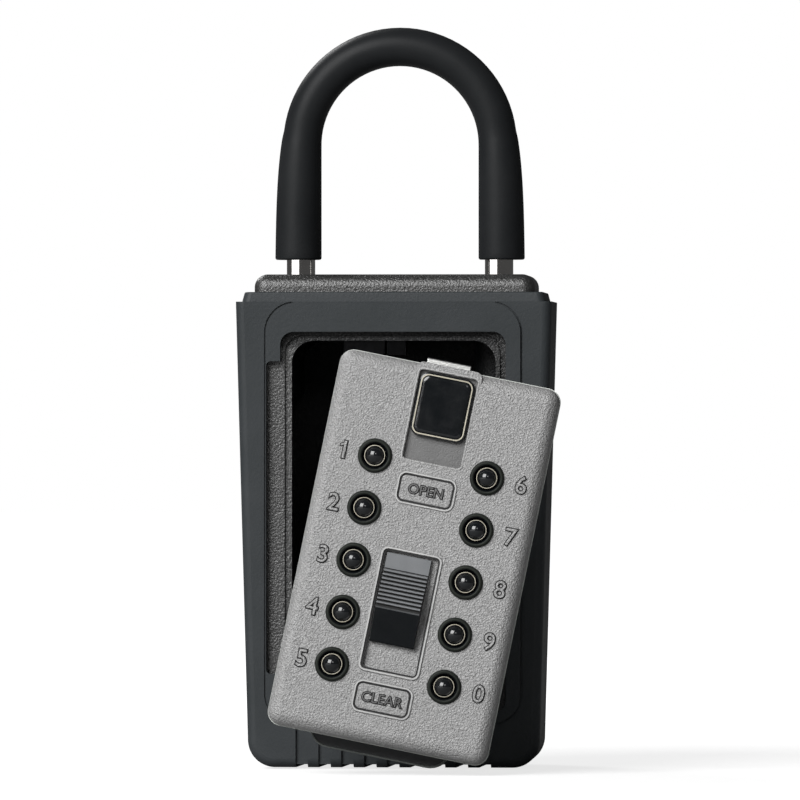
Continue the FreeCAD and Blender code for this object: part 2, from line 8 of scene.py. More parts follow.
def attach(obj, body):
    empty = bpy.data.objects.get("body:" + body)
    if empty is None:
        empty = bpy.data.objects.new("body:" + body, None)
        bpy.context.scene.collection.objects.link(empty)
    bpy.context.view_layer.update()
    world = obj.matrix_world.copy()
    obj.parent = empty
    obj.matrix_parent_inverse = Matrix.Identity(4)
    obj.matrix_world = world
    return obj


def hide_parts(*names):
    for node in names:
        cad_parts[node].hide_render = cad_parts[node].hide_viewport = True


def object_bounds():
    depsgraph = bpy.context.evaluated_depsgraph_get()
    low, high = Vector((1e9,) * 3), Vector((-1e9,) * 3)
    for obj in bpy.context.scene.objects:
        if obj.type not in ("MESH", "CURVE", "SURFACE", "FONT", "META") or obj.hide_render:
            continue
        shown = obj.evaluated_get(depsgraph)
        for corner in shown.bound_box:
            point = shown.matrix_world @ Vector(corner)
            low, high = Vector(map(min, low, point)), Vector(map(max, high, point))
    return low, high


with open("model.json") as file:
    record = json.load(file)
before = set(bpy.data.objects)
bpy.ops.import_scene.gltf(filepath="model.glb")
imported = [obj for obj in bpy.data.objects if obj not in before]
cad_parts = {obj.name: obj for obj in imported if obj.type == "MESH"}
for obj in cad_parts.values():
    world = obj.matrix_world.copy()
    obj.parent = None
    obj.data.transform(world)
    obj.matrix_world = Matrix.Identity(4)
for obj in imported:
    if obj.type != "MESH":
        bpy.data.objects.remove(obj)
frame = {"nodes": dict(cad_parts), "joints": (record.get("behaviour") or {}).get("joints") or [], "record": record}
cad_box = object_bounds()

# ------------------------------------------------------------------ sizes
# The shackle, the case's painted shade bands, the floor and the camera are in
# metres in the row frame. Details of the cover are in millimetres from the centre
# of its face: u to the right, v up, h out of the face. Rectangles are (left,
# right, bottom, top).

MM = 0.001
JOINTS = {j["name"]: j for j in frame["joints"]}

SLEEVE_INNER_R = 19.7 * MM
SLEEVE_CROWN_R = 4.82 * MM
SLEEVE_FLARE = 1.03 * MM     # how much thicker the legs get towards their feet
SLEEVE_FLARE_LENGTH = 11 * MM
SLEEVE_FLARE_START = 3 * MM  # above the end of the bend
SLEEVE_BORE_R = 3.62 * MM
SLEEVE_LIP = 0.5 * MM        # rounding of the sleeve's ends
SLEEVE_CHAMFER = 0.3 * MM    # at the mouth of the bore
SLEEVE_BORE_DEPTH = 6 * MM   # how far up the bore is modelled
SLEEVE_SIDES = 40
CROWN_Z = -19.8 * MM         # where the straight legs meet the bend
SLEEVE_FOOT_Z = -48.5 * MM

# Where painted shade darkens the case's paint, inside the compartment and on its rim's top and right: (from, to)
# of each fade.
INSIDE_Y = (-17.5 * MM, -15.5 * MM)
INSIDE_X = (31.0 * MM, 31.6 * MM)
INSIDE_Z = (-66.8 * MM, -66.0 * MM)
RIM_TOP_Z = (-71.2 * MM, -69.8 * MM)
RIM_RIGHT_X = (23.5 * MM, 25.0 * MM)
UNDER_LIP_Z = (-60.5 * MM, -59.0 * MM)
RIM_TOP_SHADE, RIM_RIGHT_SHADE = 0.72, 0.55

BUTTON_ROW_3 = -3.66         # height of the middle button row
TUMBLER_DEPTH = 13.9         # tumbler's joint behind the face
BUTTON_X = 14.0
BUTTON_TOP = 22.3
BUTTON_PITCH = 12.98
DIGIT_X = (-21.6, 22.6)
DIGIT_HEIGHT = 4.2
DIGITS = {-1: (1, 2, 3, 4, 5), 1: (6, 7, 8, 9, 0)}
DIGIT_RISE = 0.4
ONE_FLAG_RUN = 1.2           # how far the flag of the digit 1 reaches left
PAD = (-7.0, 6.7, 29.2, 44.9)
PAD_CORNER_R = 2.4
OPEN_SLOT = (-7.4, 7.1, 23.2, 45.3)
OPEN_SLOT_LIP = 0.5          # width of the lip round the OPEN recess
OPEN_SLOT_CORNER_R = 1.4
OPEN_FLOOR_H = -1.14
OPEN_FLOOR_INSET = 7.4       # the floor's loop closes to a slit under the pad
BOLT_X = -1.5
BOLT_REFLECTION = 48.42            # height where the painted dark reflection across the bolt's tip begins
BOLT_REFLECTION_FADE = 0.15        # half the width of the band's edge
CLEAR_SLOT = (-6.75, 6.5, -28.6, 0.3)
CLEAR_SLOT_FRAME = 1.1       # width of the frame round the CLEAR recess
CLEAR_SLOT_CORNER_R = 1.9
CLEAR_SLIDE = (-6.2, 4.8)
RIBS = 9
RIBS_START, RIBS_STOP = -4.2, -13.2
OPEN_LABEL = (0.0, 16.2)
CLEAR_LABEL = (-0.2, -35.7)
LABEL_W, LABEL_H = 14.8, 8.2
LABEL_CORNER_R = 2.2
WORD_HEIGHT = 2.4
COVER_HALF_W, COVER_HALF_H = 27.4, 46.7
COVER_EDGE_OUT = 0.22        # how far the bare rim stands out
COVER_CORNER_R = 3.5
TONGUE = (-17.6, 17.6, -49.8, -40.0)
TONGUE_CORNER_R = 5.1

BUTTON_LATHE_SIDES = 48
DOME_R, DOME_RISE, DOME_BASE = 2.1, 1.7, 0.3
DOME_STEPS = 8
SMALLEST_CORNER_R = 0.12

FLOOR_GAP = 0.4 * MM         # below the object's foot
FLOOR_HALF = 6.0

CAMERA_AZIMUTH = 5.0         # degrees to the right
CAMERA_DISTANCE = 2.683
CAMERA_TARGET = Vector((0, 0, -83.55 * MM))
VIEW_WIDTH = 200.0 * MM      # width seen at the target
SENSOR = 36.0
CAMERA_REACH = 20.0


# ------------------------------------------------------------------ materials

def new_material(name):
    mat = bpy.data.materials.new(name)
    mat.use_nodes = True
    shader = mat.node_tree.nodes["Principled BSDF"]
    return mat, mat.node_tree, shader


def object_coordinates(tree):
    return tree.nodes.new("ShaderNodeTexCoord").outputs["Object"]


def noise(tree, coords, scale, detail=2.0, rough=0.5):
    made = tree.nodes.new("ShaderNodeTexNoise")
    made.inputs["Scale"].default_value = scale
    made.inputs["Detail"].default_value = detail
    made.inputs["Roughness"].default_value = rough
    tree.links.new(coords, made.inputs["Vector"])
    return made.outputs["Fac"]


def cells(tree, coords, scale):
    made = tree.nodes.new("ShaderNodeTexVoronoi")
    made.feature = "SMOOTH_F1"
    made.inputs["Scale"].default_value = scale
    made.inputs["Smoothness"].default_value = 0.6
    tree.links.new(coords, made.inputs["Vector"])
    return made.outputs["Distance"]


def ramp(tree, value, low, high, stops):
    """Colour ramp between two input values."""
    spread = tree.nodes.new("ShaderNodeMapRange")
    spread.inputs["From Min"].default_value = low
    spread.inputs["From Max"].default_value = high
    tree.links.new(value, spread.inputs["Value"])
    made = tree.nodes.new("ShaderNodeValToRGB")
    made.color_ramp.elements[0].color = (*stops[0], 1)
    made.color_ramp.elements[1].color = (*stops[1], 1)
    tree.links.new(spread.outputs["Result"], made.inputs["Fac"])
    return made.outputs["Color"]


def remap(tree, value, low, high, to_low, to_high):
    """Straight-line change of range, held at its ends."""
    spread = tree.nodes.new("ShaderNodeMapRange")
    spread.inputs["From Min"].default_value = low
    spread.inputs["From Max"].default_value = high
    spread.inputs["To Min"].default_value = to_low
    spread.inputs["To Max"].default_value = to_high
    tree.links.new(value, spread.inputs["Value"])
    return spread.outputs["Result"]


def combine(tree, operation, *values):
    """Math node over one or two sockets."""
    made = tree.nodes.new("ShaderNodeMath")
    made.operation = operation
    for value, socket in zip(values, made.inputs):
        tree.links.new(value, socket)
    return made.outputs["Value"]


def blend(tree, share, plain, colour):
    """Colour socket that turns into one colour where share is 1."""
    made = tree.nodes.new("ShaderNodeMix")
    made.data_type = "RGBA"
    tree.links.new(share, made.inputs["Factor"])
    tree.links.new(plain, made.inputs["A"])
    made.inputs["B"].default_value = (*colour, 1)
    return made.outputs["Result"]


def bump(tree, height, distance, strength=1.0, under=None):
    made = tree.nodes.new("ShaderNodeBump")
    made.inputs["Distance"].default_value = distance
    made.inputs["Strength"].default_value = strength
    tree.links.new(height, made.inputs["Height"])
    if under is not None:
        tree.links.new(under, made.inputs["Normal"])
    return made.outputs["Normal"]


def moulded(name, dark, light, rough, grain=1500.0, depth=0.00003, shine=0.5):
    """Moulded vinyl or plastic: a fine matte grain and slow mottling."""
    mat, tree, shader = new_material(name)
    coords = object_coordinates(tree)
    slow = noise(tree, coords, 60.0, 3.0, 0.6)
    fine = noise(tree, coords, grain, 2.0, 0.6)
    tree.links.new(ramp(tree, slow, 0.25, 0.75, (dark, light)), shader.inputs["Base Color"])
    tree.links.new(remap(tree, slow, 0.25, 0.75, rough - 0.05, rough + 0.05), shader.inputs["Roughness"])
    tree.links.new(bump(tree, fine, depth, 0.7), shader.inputs["Normal"])
    shader.inputs["Specular IOR Level"].default_value = shine
    return mat


def gloss(name, dark, light, rough=0.08, shine=0.6):
    """Polished dark plastic with faint smears."""
    mat, tree, shader = new_material(name)
    coords = object_coordinates(tree)
    smear = noise(tree, coords, 180.0, 4.0, 0.7)
    tree.links.new(ramp(tree, smear, 0.35, 0.7, (dark, light)), shader.inputs["Base Color"])
    tree.links.new(remap(tree, smear, 0.35, 0.75, rough, rough + 0.1), shader.inputs["Roughness"])
    tree.links.new(bump(tree, smear, 0.00001, 0.4), shader.inputs["Normal"])
    shader.inputs["Specular IOR Level"].default_value = shine
    return mat


def metal(name, dark, light, rough, streak=(1.0, 1.0, 1.0), grain=900.0, depth=0.00001):
    """Plated or bare metal, brushed when streak stretches the noise."""
    mat, tree, shader = new_material(name)
    mapping = tree.nodes.new("ShaderNodeMapping")
    mapping.inputs["Scale"].default_value = streak
    tree.links.new(object_coordinates(tree), mapping.inputs["Vector"])
    coords = mapping.outputs["Vector"]
    brushed = noise(tree, coords, grain, 3.0, 0.6)
    stain = noise(tree, coords, grain * 0.12, 3.0, 0.6)
    tree.links.new(ramp(tree, stain, 0.3, 0.7, (dark, light)), shader.inputs["Base Color"])
    tree.links.new(remap(tree, brushed, 0.3, 0.7, rough * 0.7, rough * 1.4), shader.inputs["Roughness"])
    tree.links.new(bump(tree, brushed, depth, 0.5), shader.inputs["Normal"])
    shader.inputs["Metallic"].default_value = 1.0
    return mat


def cast_paint():
    """Black wrinkle paint, with painted shade that makes it darker and less shiny in the compartment and on its
    rim's top and right.
    """
    mat, tree, shader = new_material("case_paint_and_shade")
    coords = object_coordinates(tree)
    lumps = noise(tree, coords, 1900.0, 2.0, 0.55)
    fine = noise(tree, coords, 3200.0, 2.0, 0.6)
    outside = ramp(tree, lumps, 0.35, 0.68, ((0.010, 0.010, 0.010), (0.034, 0.034, 0.033)))
    split = tree.nodes.new("ShaderNodeSeparateXYZ")
    tree.links.new(coords, split.inputs["Vector"])
    x, y, z = (split.outputs[axis] for axis in "XYZ")
    # Painted shade inside the compartment, behind the mouth.
    depth = remap(tree, y, *INSIDE_Y, 0.0, 1.0)
    within = remap(tree, combine(tree, "ABSOLUTE", x), *INSIDE_X, 1.0, 0.0)
    below = remap(tree, z, *INSIDE_Z, 1.0, 0.0)
    compartment_shade = combine(tree, "MULTIPLY", combine(tree, "MULTIPLY", depth, within), below)
    # Painted shade: dark bands on the top and right of the rim round the mouth, stopped below the lip.
    high = remap(tree, z, *RIM_TOP_Z, 0.0, RIM_TOP_SHADE)
    right = remap(tree, x, *RIM_RIGHT_X, 0.0, RIM_RIGHT_SHADE)
    under_lip = remap(tree, z, *UNDER_LIP_Z, 1.0, 0.0)
    rim = combine(tree, "MULTIPLY", combine(tree, "MAXIMUM", high, right), under_lip)
    # Wherever painted shade falls, the colour darkens and the shine drops.
    painted_shade = combine(tree, "MAXIMUM", rim, compartment_shade)
    tree.links.new(blend(tree, painted_shade, outside, (0.006, 0.0065, 0.007)), shader.inputs["Base Color"])
    tree.links.new(remap(tree, fine, 0.3, 0.7, 0.32, 0.42), shader.inputs["Roughness"])
    tree.links.new(remap(tree, painted_shade, 0.0, 1.0, 0.9, 0.1), shader.inputs["Specular IOR Level"])
    first = bump(tree, lumps, 0.00022, 0.9)
    tree.links.new(bump(tree, fine, 0.00005, 0.6, first), shader.inputs["Normal"])
    return mat


def leather_coat():
    """Grey powder coat with a leathery grain."""
    mat, tree, shader = new_material("cover_paint")
    coords = object_coordinates(tree)
    grain = noise(tree, coords, 2600.0, 1.5, 0.5)
    pores = cells(tree, coords, 2100.0)
    fine = noise(tree, coords, 4200.0, 2.0, 0.6)
    colour = ramp(tree, grain, 0.36, 0.66, ((0.232, 0.231, 0.230), (0.320, 0.319, 0.318)))
    tree.links.new(colour, shader.inputs["Base Color"])
    tree.links.new(remap(tree, fine, 0.3, 0.7, 0.36, 0.5), shader.inputs["Roughness"])
    first = bump(tree, grain, 0.00036, 0.9)
    second = bump(tree, pores, 0.00022, 0.7, first)
    tree.links.new(bump(tree, fine, 0.00011, 0.6, second), shader.inputs["Normal"])
    shader.inputs["Metallic"].default_value = 0.12
    return mat


MATERIALS = {
    "case_black": cast_paint(),
    "jacket_vinyl": moulded("jacket_vinyl", (0.025, 0.029, 0.031), (0.034, 0.038, 0.041), 0.5,
                            grain=1300.0, depth=0.00008, shine=0.2),
    "shackle_chrome": metal("chrome_plate", (0.72, 0.70, 0.68), (0.85, 0.84, 0.82), 0.07),
    "sleeve_vinyl": moulded("sleeve_vinyl", (0.010, 0.011, 0.012), (0.014, 0.015, 0.016), 0.45,
                            grain=900.0, shine=0.11),
    "black_oxide": metal("blackened_steel", (0.020, 0.020, 0.022), (0.035, 0.035, 0.037), 0.4),
    "zinc_plated": metal("zinc_plate", (0.42, 0.42, 0.40), (0.60, 0.60, 0.57), 0.3, (1, 1, 6)),
    "cover_titanium": leather_coat(),
    "housing_black": moulded("housing_black", (0.017, 0.018, 0.019), (0.024, 0.026, 0.027), 0.5),
    "gloss_black": gloss("gloss_black", (0.004, 0.005, 0.006), (0.008, 0.009, 0.010)),
    "clear_grey": moulded("slide_grey", (0.120, 0.125, 0.130), (0.165, 0.172, 0.180), 0.34,
                          grain=1800.0, depth=0.00002),
    "brass": metal("brass", (0.55, 0.38, 0.14), (0.72, 0.53, 0.24), 0.28, (1, 6, 1)),
    "spring_steel": metal("spring_wire", (0.35, 0.35, 0.35), (0.55, 0.55, 0.55), 0.25),
}
RUBBER_RING = moulded("bezel_rubber", (0.010, 0.012, 0.010), (0.017, 0.020, 0.016), 0.5,
                      grain=1600.0, depth=0.00002, shine=0.15)
# Painted highlight: the light ring on the button caps and the light line inside the OPEN pad's edge.
EDGE_HIGHLIGHT = moulded("painted_edge_highlight", (0.34, 0.31, 0.24), (0.50, 0.47, 0.38), 0.35)
# Light line round the cover's bare back edge, partly a painted highlight.
BARE_RIM_HIGHLIGHT = moulded("bare_rim_painted_highlight", (0.42, 0.44, 0.42), (0.56, 0.58, 0.55), 0.4)
# Painted shade: the darker grey of the OPEN recess's floor and of the words OPEN and CLEAR.
RECESS_SHADE = moulded("painted_recess_shade", (0.085, 0.085, 0.085), (0.135, 0.135, 0.134), 0.5,
                       grain=2600.0, depth=0.00022)
# Painted highlight on the crests of the raised frames and lips.
RIDGE_HIGHLIGHT = moulded("painted_ridge_highlight", (0.36, 0.36, 0.36), (0.50, 0.50, 0.49), 0.4)
EDGE_GREY = moulded("tongue_rim", (0.09, 0.10, 0.095), (0.15, 0.16, 0.15), 0.4)
# Painted shadow: black in grooves, round raised characters and on the slide's rib faces.
PAINTED_SHADOW = moulded("groove_shadow", (0.010, 0.010, 0.010), (0.018, 0.018, 0.018), 0.8)
BLACK_FACE = gloss("slide_face_black", (0.005, 0.006, 0.007), (0.008, 0.009, 0.010), rough=0.2, shine=0.15)


# ------------------------------------------------------------------ mesh helpers

def mesh_object(name, verts, faces, materials, face_slots=None, smooth=True):
    """Mesh in the scene, with its faces turned outwards; face_slots pick each face's material."""
    mesh = bpy.data.meshes.new(name)
    mesh.from_pydata([tuple(v) for v in verts], [], faces)
    for mat in materials:
        mesh.materials.append(mat)
    if face_slots:
        for poly, index in zip(mesh.polygons, face_slots):
            poly.material_index = index
    made = bmesh.new()
    made.from_mesh(mesh)
    bmesh.ops.recalc_face_normals(made, faces=made.faces)
    made.to_mesh(mesh)
    made.free()
    if smooth:
        mesh.shade_smooth()
    obj = bpy.data.objects.new(name, mesh)
    bpy.context.scene.collection.objects.link(obj)
    return obj


def soften(obj, width):
    """Rounds the sharp edges and keeps the flats flat."""
    weld = obj.modifiers.new("weld", "WELD")
    weld.merge_threshold = 2e-6
    flat = obj.modifiers.new("flat", "DECIMATE")
    flat.decimate_type = "DISSOLVE"
    flat.angle_limit = math.radians(0.6)
    bevel = obj.modifiers.new("bevel", "BEVEL")
    bevel.width = width
    bevel.segments = 3
    bevel.limit_method = "ANGLE"
    bevel.angle_limit = math.radians(32)
    bevel.harden_normals = False
    bevel.use_clamp_overlap = True
    normals = obj.modifiers.new("normals", "WEIGHTED_NORMAL")
    normals.keep_sharp = True


def rounded_outline(x0, x1, z0, z1, r, steps=8):
    """Points of a round-cornered rectangle, anticlockwise."""
    points = []
    corners = ((x1 - r, z0 + r, -90), (x1 - r, z1 - r, 0), (x0 + r, z1 - r, 90), (x0 + r, z0 + r, 180))
    for cx, cz, start in corners:
        for i in range(steps + 1):
            a = math.radians(start + 90 * i / steps)
            points.append((cx + r * math.cos(a), cz + r * math.sin(a)))
    return points


def lid_matrix():
    """Cover frame: right, into the cover, up; origin at the centre of its face."""
    up = -Vector(JOINTS["open_slide_travel"]["axis"])
    inward = Vector(JOINTS["button_1_press"]["axis"])
    right = inward.cross(up)
    left_mid = Vector(JOINTS["code_tumbler_3_turn"]["pos_m"])
    right_mid = Vector(JOINTS["code_tumbler_8_turn"]["pos_m"])
    centre = (left_mid + right_mid) / 2 - up * BUTTON_ROW_3 * MM - inward * TUMBLER_DEPTH * MM
    turn = Matrix((right, inward, up)).transposed().to_4x4()
    return Matrix.Translation(centre) @ turn


LID = lid_matrix()


def lid_point(u, v, h):
    """Point in the row frame from millimetres on the cover."""
    return LID @ Vector((u * MM, -h * MM, v * MM))


def terrace(name, rect, r, steps, materials, step_slots=None, cap=True, body="lid"):
    """Round-cornered rectangular form on the cover: loops of (inset, height)."""
    x0, x1, z0, z1 = rect
    verts, faces, slots = [], [], []
    loops = []
    for inset, height in steps:
        radius = max(r - inset, SMALLEST_CORNER_R)
        outline = rounded_outline(x0 + inset, x1 - inset, z0 + inset, z1 - inset, radius)
        loops.append(range(len(verts), len(verts) + len(outline)))
        verts += [lid_point(u, v, height) for u, v in outline]
    for k in range(len(loops) - 1):
        a, b = loops[k], loops[k + 1]
        count = len(a)
        for i in range(count):
            j = (i + 1) % count
            faces.append((a[i], a[j], b[j], b[i]))
            slots.append(step_slots[k] if step_slots else 0)
    if cap:
        faces.append(tuple(loops[-1]))
        slots.append(step_slots[-1] if step_slots else 0)
        faces.append(tuple(reversed(loops[0])))
        slots.append(0)
    obj = mesh_object(name, verts, faces, materials, slots, smooth=False)
    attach(obj, body)
    return obj


def lathe(centre, profile, profile_slots, steps=BUTTON_LATHE_SIDES):
    """Turned form about the cover's normal at centre, from (radius, height) pairs."""
    u0, v0 = centre
    verts, faces, slots = [], [], []
    rings = []
    for radius, height in profile:
        if radius < 1e-6:
            rings.append([len(verts)])
            verts.append(lid_point(u0, v0, height))
            continue
        rings.append(list(range(len(verts), len(verts) + steps)))
        for i in range(steps):
            a = 2 * math.pi * i / steps
            verts.append(lid_point(u0 + radius * math.cos(a), v0 + radius * math.sin(a), height))
    for k in range(len(rings) - 1):
        a, b = rings[k], rings[k + 1]
        for i in range(steps):
            j = (i + 1) % steps
            if len(a) == 1:
                faces.append((a[0], b[j], b[i]))
            elif len(b) == 1:
                faces.append((a[i], a[j], b[0]))
            else:
                faces.append((a[i], a[j], b[j], b[i]))
            slots.append(profile_slots[k])
    return verts, faces, slots


# ------------------------------------------------------------------ shackle

def sleeve_path(count=72):
    """Centre, tangent and radius down one leg, round the bend and down the other."""
    leg = CROWN_Z - SLEEVE_FOOT_Z
    quarter = math.pi / 2 * (SLEEVE_INNER_R + SLEEVE_CROWN_R)
    total = 2 * (leg + quarter)
    path = []
    for i in range(count + 1):
        s = total * i / count
        from_foot = min(s, total - s)
        flared = max(leg - from_foot + SLEEVE_FLARE_START, 0)
        radius = SLEEVE_CROWN_R + SLEEVE_FLARE * (1 - math.exp(-flared / SLEEVE_FLARE_LENGTH))
        centre_r = SLEEVE_INNER_R + radius
        side = -1 if s < total / 2 else 1
        if from_foot <= leg:
            centre = Vector((side * centre_r, 0, SLEEVE_FOOT_Z + from_foot))
            path.append((centre, Vector((0, 0, -side)), radius))
            continue
        angle = (from_foot - leg) / quarter * math.pi / 2
        direction = Vector((side * math.cos(angle), 0, math.sin(angle)))
        tangent = Vector((math.sin(angle), 0, -side * math.cos(angle)))
        path.append((Vector((0, 0, CROWN_Z)) + direction * centre_r, tangent, radius))
    return path


def sleeve_end(end):
    """Rings (centre, radius) round one end's lip and up into its bore."""
    centre, _, radius = end
    up = Vector((0, 0, 1))
    rings = []
    for k in range(5):
        a = math.pi / 2 * k / 4
        rings.append((centre + up * SLEEVE_LIP * (1 - math.sin(a)), radius - SLEEVE_LIP * (1 - math.cos(a))))
    rings.append((centre, SLEEVE_BORE_R + SLEEVE_CHAMFER))
    rings.append((centre + up * SLEEVE_CHAMFER, SLEEVE_BORE_R))
    rings.append((centre + up * SLEEVE_BORE_DEPTH, SLEEVE_BORE_R))
    return rings


def shackle_sleeve():
    path = sleeve_path()
    up = Vector((0, 0, 1))
    rings = [(c, up, r) for c, r in reversed(sleeve_end(path[0]))]
    rings += [ring for ring in path if ring[0].z > SLEEVE_FOOT_Z + SLEEVE_LIP * 1.2]
    rings += [(c, -up, r) for c, r in sleeve_end(path[-1])]
    forward = Vector((0, 1, 0))
    verts, faces = [], []
    for centre, tangent, radius in rings:
        side = tangent.cross(forward).normalized()
        for i in range(SLEEVE_SIDES):
            a = 2 * math.pi * i / SLEEVE_SIDES
            verts.append(centre + side * radius * math.cos(a) + forward * radius * math.sin(a))
    for start in range(0, (len(rings) - 1) * SLEEVE_SIDES, SLEEVE_SIDES):
        for i in range(SLEEVE_SIDES):
            j = (i + 1) % SLEEVE_SIDES
            faces.append((start + i, start + j, start + SLEEVE_SIDES + j, start + SLEEVE_SIDES + i))
    obj = mesh_object("sleeve_moulding", verts, faces, [MATERIALS["sleeve_vinyl"]])
    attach(obj, "shackle")
    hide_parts("shackle_sleeve")


# ------------------------------------------------------------------ cover details

def type_mesh(text, offset, extrude, bevel):
    """Letterforms as a mesh in font units."""
    curve = bpy.data.curves.new("type", "FONT")
    curve.body = text
    curve.resolution_u = 4
    curve.offset = offset
    curve.extrude = extrude
    curve.bevel_depth = bevel
    curve.bevel_resolution = 1
    holder = bpy.data.objects.new("type", curve)
    bpy.context.scene.collection.objects.link(holder)
    bpy.context.view_layer.update()
    depsgraph = bpy.context.evaluated_depsgraph_get()
    mesh = bpy.data.meshes.new_from_object(holder.evaluated_get(depsgraph))
    bpy.data.objects.remove(holder)
    return mesh


def cover_text(name, text, centre, height, rise, outline, weight, paint):
    """Raised characters on the cover, each in a dark outline of painted shadow; rise is (outline, top)."""
    plain = type_mesh(text, 0, 0, 0)
    xs = [v.co.x for v in plain.vertices]
    ys = [v.co.y for v in plain.vertices]
    scale = height / (max(ys) - min(ys))
    middle = Vector(((max(xs) + min(xs)) / 2, (max(ys) + min(ys)) / 2, 0))
    layers = (
        (type_mesh(text, (weight + outline) / scale, 0.01 / scale, 0), rise[0], 1),
        (type_mesh(text, (weight - 0.05) / scale, (rise[1] - rise[0]) / 2 / scale, 0.07 / scale),
         (rise[0] + rise[1]) / 2, 0),
    )
    verts, faces, slots = [], [], []
    for mesh, level, slot in layers:
        start = len(verts)
        for v in mesh.vertices:
            place = (v.co - middle) * scale
            verts.append(lid_point(centre[0] + place.x, centre[1] + place.y, level + place.z))
        faces += [tuple(start + i for i in p.vertices) for p in mesh.polygons]
        slots += [slot] * len(mesh.polygons)
    obj = mesh_object(name, verts, faces, [paint, PAINTED_SHADOW], slots, smooth=False)
    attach(obj, "lid")


def button_centres():
    """Digit, side of the cover and (u, v) of each button."""
    for side, digits in DIGITS.items():
        for row, digit in enumerate(digits):
            yield digit, side, (side * BUTTON_X, BUTTON_TOP - row * BUTTON_PITCH)


def bezel_rings():
    """Rubber ring round each button, with a gloss throat."""
    profile = [(3.2, -2.0), (4.15, -0.2), (4.25, 0.0), (4.15, 0.4), (3.9, 0.72), (3.6, 0.82), (3.35, 0.7),
               (3.1, 0.25), (2.9, -0.1), (2.7, -0.9), (2.7, -2.0)]
    slots = [0, 0, 0, 0, 0, 0, 1, 1, 1, 1]
    verts, faces, face_slots = [], [], []
    for _, _, centre in button_centres():
        ring_verts, ring_faces, ring_slots = lathe(centre, profile, slots)
        faces += [tuple(i + len(verts) for i in face) for face in ring_faces]
        verts += ring_verts
        face_slots += ring_slots
    obj = mesh_object("bezel_rings", verts, faces, [RUBBER_RING, MATERIALS["gloss_black"]], face_slots)
    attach(obj, "lid")
    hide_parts("button_bezels")


def button_caps():
    """Button tops: a painted highlight ring near the edge of a gloss dome."""
    profile = [(0.0, -3.0), (2.6, -3.0), (2.6, 0.5), (2.56, 0.68), (2.48, 0.74), (2.38, 0.7), (2.15, 0.3)]
    for k in range(DOME_STEPS):
        a = math.pi / 2 * k / DOME_STEPS
        profile.append((DOME_R * math.cos(a), DOME_BASE + DOME_RISE * math.sin(a)))
    profile.append((0.0, DOME_BASE + DOME_RISE))
    # Slot 1 is the painted highlight ring near the cap's edge.
    slots = [0, 0, 0, 1, 1, 0] + [0] * (DOME_STEPS + 1)
    for digit, _, centre in button_centres():
        verts, faces, face_slots = lathe(centre, profile, slots)
        obj = mesh_object("button_cap_%d" % digit, verts, faces, [MATERIALS["gloss_black"], EDGE_HIGHLIGHT],
                          face_slots)
        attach(obj, "button_%d" % digit)
        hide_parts("button_%d" % digit)


def open_pad():
    """Gloss pad with a painted highlight line round its edge."""
    steps = [(0.3, -1.1), (0.0, -1.0), (0.0, 0.0), (0.1, 0.2), (0.32, 0.3), (0.42, 0.34), (0.72, 0.34),
             (0.84, 0.2), (0.98, 0.2), (1.06, 0.36), (1.36, 0.46), (1.6, 0.5), (2.2, 0.51)]
    # Slot 1 is the painted highlight line inside the pad's edge.
    slots = [0, 0, 0, 0, 0, 1, 0, 0, 0, 0, 0, 0, 0]
    pad = terrace("open_pad", PAD, PAD_CORNER_R, steps, [MATERIALS["gloss_black"], EDGE_HIGHLIGHT], slots,
                  body="open_slide")
    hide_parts("open_button")


def grown(rect, by):
    """Rectangle with every side moved out."""
    x0, x1, z0, z1 = rect
    return x0 - by, x1 + by, z0 - by, z1 + by


def label_plates():
    """Framed plates that carry the words OPEN and CLEAR."""
    for name, (u, v), word in (("open", OPEN_LABEL, "OPEN"), ("clear", CLEAR_LABEL, "CLEAR")):
        rect = (u - LABEL_W / 2, u + LABEL_W / 2, v - LABEL_H / 2, v + LABEL_H / 2)
        steps = [(0.0, -0.1), (0.05, 0.2), (0.2, 0.34), (0.5, 0.34), (0.62, 0.1), (0.66, 0.03), (1.0, 0.03),
                 (1.06, 0.16), (1.25, 0.26), (1.7, 0.26)]
        # Slot 2 is a painted highlight on the frame's crest; slot 1 is painted shadow in the groove inside it.
        slots = [0, 0, 2, 0, 1, 1, 1, 0, 0, 0]
        plate = terrace(name + "_label_plate", rect, LABEL_CORNER_R, steps,
                        [MATERIALS["cover_titanium"], PAINTED_SHADOW, RIDGE_HIGHLIGHT], slots)
        # The words are filled with painted shade and outlined in painted shadow.
        cover_text(name + "_label_word", word, (u, v), WORD_HEIGHT, rise=(0.29, 0.5), outline=0.26,
                   weight=-0.05, paint=RECESS_SHADE)


def open_recess():
    """Lining of the recess that the OPEN pad slides in, with a painted highlight on its lip, painted shadow down
    its inner wall and a floor in painted shade.
    """
    steps = [(0.0, -0.05), (0.1, 0.1), (0.22, 0.13), (0.4, 0.05), (0.5, -0.2), (0.54, OPEN_FLOOR_H),
             (OPEN_FLOOR_INSET, OPEN_FLOOR_H)]
    # Slot 2 is a painted highlight on the lip, slot 1 painted shadow down the inner wall, slot 3 the floor in
    # painted shade.
    slots = [0, 2, 0, 1, 1, 3]
    lining = terrace("open_slot_lining", grown(OPEN_SLOT, OPEN_SLOT_LIP), OPEN_SLOT_CORNER_R, steps,
                     [MATERIALS["cover_titanium"], PAINTED_SHADOW, RIDGE_HIGHLIGHT, RECESS_SHADE], slots, cap=False)


def clear_frame():
    """Raised frame round the CLEAR recess."""
    steps = [(0.0, -0.1), (0.06, 0.22), (0.22, 0.36), (0.56, 0.36), (0.68, 0.12), (0.72, 0.02), (1.08, 0.02),
             (1.12, -1.15)]
    # Slot 2 is a painted highlight on the frame's crest; slot 1 is painted shadow down its inner side.
    slots = [0, 0, 2, 0, 1, 1, 1]
    ring = terrace("clear_slot_frame", grown(CLEAR_SLOT, CLEAR_SLOT_FRAME), CLEAR_SLOT_CORNER_R, steps,
                   [MATERIALS["cover_titanium"], PAINTED_SHADOW, RIDGE_HIGHLIGHT], slots, cap=False)


